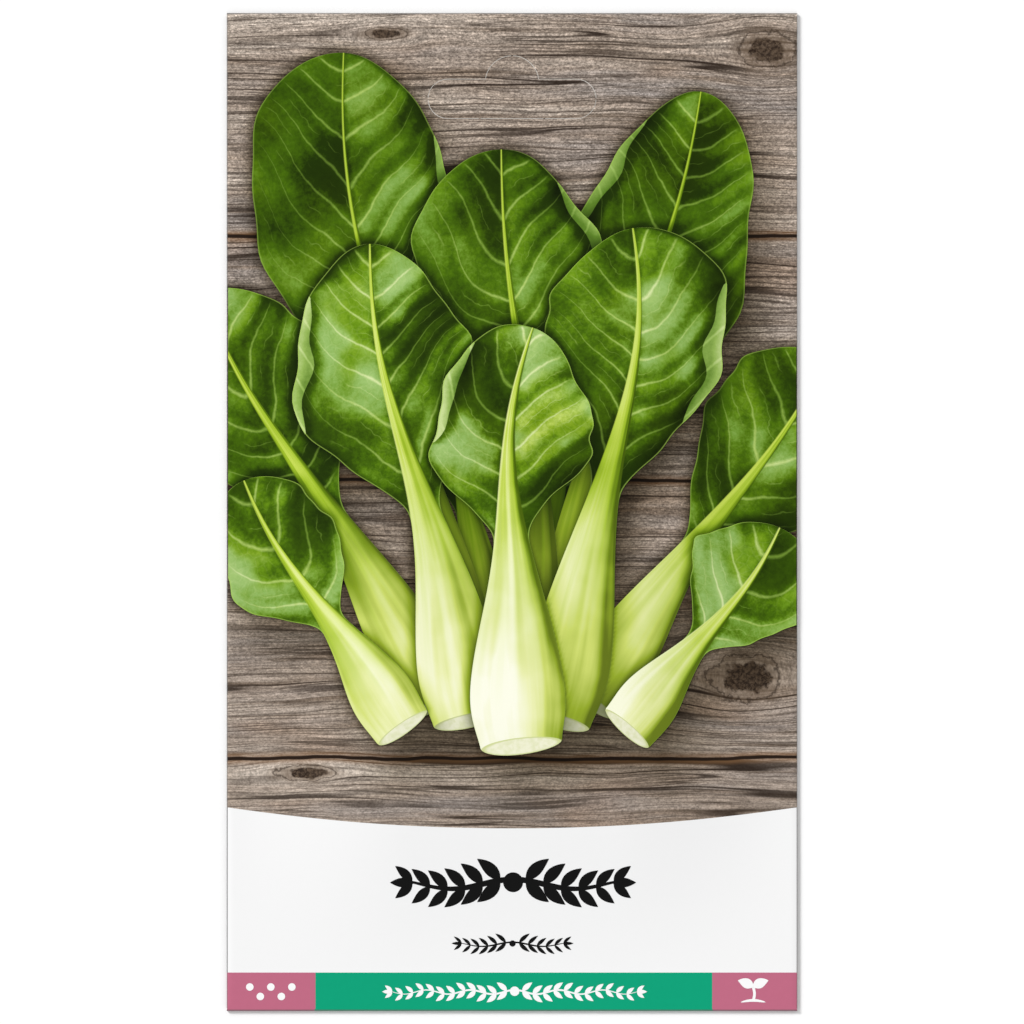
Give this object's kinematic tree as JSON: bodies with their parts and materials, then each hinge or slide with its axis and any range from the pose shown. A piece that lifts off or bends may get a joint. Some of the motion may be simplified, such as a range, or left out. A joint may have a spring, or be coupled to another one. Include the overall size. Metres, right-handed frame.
{
  "type": "seed packet",
  "caption": "Flat seed packet folded from one paper sheet, glued at the back and ends, with a scored hang tab and a film sachet of small round seeds inside.",
  "frame": {"origin": "under the middle of the packet, on the surface that its back lies on", "axes": "+X to the right as the front is read, +Y up the front towards the hang slot, +Z out of the front"},
  "size_m": [0.1086, 0.19, 0.0039],
  "materials": {
    "printed_paper": "smooth coated, satin",
    "sachet_film": "metallised film, glossy",
    "seed_coat": "dark brown seed coat, matte"
  },
  "bodies": {
    "root": {"paper_envelope": "printed_paper", "seed_sachet": "sachet_film", "seeds": "seed_coat"}
  },
  "joints": []
}
